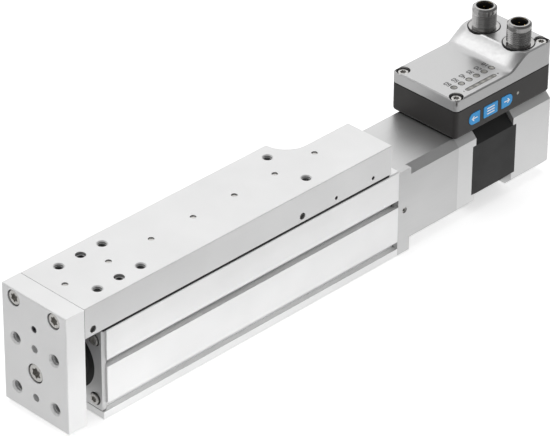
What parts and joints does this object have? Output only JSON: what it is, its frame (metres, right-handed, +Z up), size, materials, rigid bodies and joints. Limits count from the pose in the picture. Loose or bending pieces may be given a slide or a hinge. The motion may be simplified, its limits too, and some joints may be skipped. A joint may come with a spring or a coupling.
{
  "type": "linear slide",
  "caption": "Miniature linear slide: table on a ball guide over a screw drive, front yoke plate, stepper motor and control box with round connectors.",
  "frame": {"origin": "centre of the housing profile's mounting face", "axes": "+X from the yoke plate to the motor, +Z up to the table; the keys look to -Y"},
  "size_m": [0.3177, 0.0428, 0.0855],
  "materials": {
    "table_anodised": "fine satin anodised",
    "profile_anodised": "satin anodised extrusion",
    "cover_anodised": "satin anodised plate",
    "drive_anodised": "satin anodised",
    "motor_casting": "fine blasted casting",
    "stack_black": "satin black laminations",
    "box_black": "fine moulded grain",
    "box_silver": "satin silver lacquer on a die casting",
    "nickel": "satin nickel plate",
    "contact_gold": "gold flash",
    "steel_screw": "zinc plated",
    "steel_ground": "ground",
    "black_seal": "smooth elastomer",
    "bush_bronze": "turned bronze",
    "cap_polymer": "moulded",
    "coupling_alloy": "turned",
    "coupling_red": "elastic polymer",
    "copper_wire": "enamelled copper wire",
    "rotor_steel": "ground laminations",
    "magnet_dark": "sintered",
    "board_green": "solder mask",
    "dome_steel": "spring steel",
    "key_blue": "printed key film",
    "lens_grey": "frosted lens"
  },
  "bodies": {
    "housing": {"housing_profile": "profile_anodised", "front_cover": "cover_anodised", "front_cover_screws": "steel_screw", "rod_wiper": "black_seal", "rod_bush": "bush_bronze", "stop_buffers": "black_seal", "guide_blocks": "steel_ground", "block_end_caps": "cap_polymer", "block_screws": "steel_screw", "drive_housing": "drive_anodised", "drive_housing_screws": "steel_screw", "bearing_set_screw": "steel_screw", "bearing_outer_ring": "steel_ground", "bearing_balls": "steel_ground", "bearing_retainer": "steel_ground", "motor_front_flange": "motor_casting", "motor_screws": "steel_screw", "motor_stator": "stack_black", "stator_windings": "copper_wire", "motor_bearings": "steel_ground", "motor_rear_bell": "motor_casting", "motor_rear_cap": "motor_casting", "encoder_board": "board_green", "control_base": "box_black", "control_cover": "box_silver", "cover_gasket": "black_seal", "control_screws": "steel_screw", "control_board": "board_green", "key_domes": "dome_steel", "status_leds": "lens_grey", "position_bar": "lens_grey", "port_led": "lens_grey", "connector_near": "nickel", "connector_far": "nickel", "connector_inserts": "black_seal", "connector_contacts": "contact_gold", "connector_seals": "black_seal"},
    "slide": {"slide_table": "table_anodised", "side_plugs": "steel_screw", "yoke_plate": "table_anodised", "yoke_screws": "steel_screw", "rod_screw": "steel_screw", "push_rod": "steel_ground", "ball_nut": "steel_ground", "nut_return_tubes": "steel_ground", "sensing_magnet": "magnet_dark", "guide_rail": "steel_ground", "rail_screws": "steel_screw"},
    "spindle": {"ball_screw": "steel_ground", "bearing_inner_ring": "steel_ground", "spindle_lock_nut": "steel_ground", "coupling_hub_front": "coupling_alloy", "coupling_spider": "coupling_red", "coupling_hub_rear": "coupling_alloy", "motor_shaft": "steel_ground", "motor_rotor": "rotor_steel", "encoder_magnet": "magnet_dark"},
    "button_left": {"key_left": "key_blue"},
    "button_centre": {"key_centre": "key_blue"},
    "button_right": {"key_right": "key_blue"}
  },
  "joints": [
    {"name": "table_slide", "type": "slide", "parent": "housing", "child": "slide", "axis": [-1, 0, 0], "range_m": [0, 0.1]},
    {"name": "spindle_turn", "type": "hinge", "parent": "housing", "child": "spindle", "pos_m": [0, 0, 0.0245], "axis": [1, 0, 0], "range_deg": [-5, 3605]},
    {"name": "press_left", "type": "slide", "parent": "housing", "child": "button_left", "axis": [0, 1, 0], "range_m": [0, 0.00035], "stiffness_N_per_m": 3000},
    {"name": "press_centre", "type": "slide", "parent": "housing", "child": "button_centre", "axis": [0, 1, 0], "range_m": [0, 0.00035], "stiffness_N_per_m": 3000},
    {"name": "press_right", "type": "slide", "parent": "housing", "child": "button_right", "axis": [0, 1, 0], "range_m": [0, 0.00035], "stiffness_N_per_m": 3000}
  ],
  "couplings": [
    {"joint": "spindle_turn", "follows": "table_slide", "rad_per_m": 628.32}
  ]
}
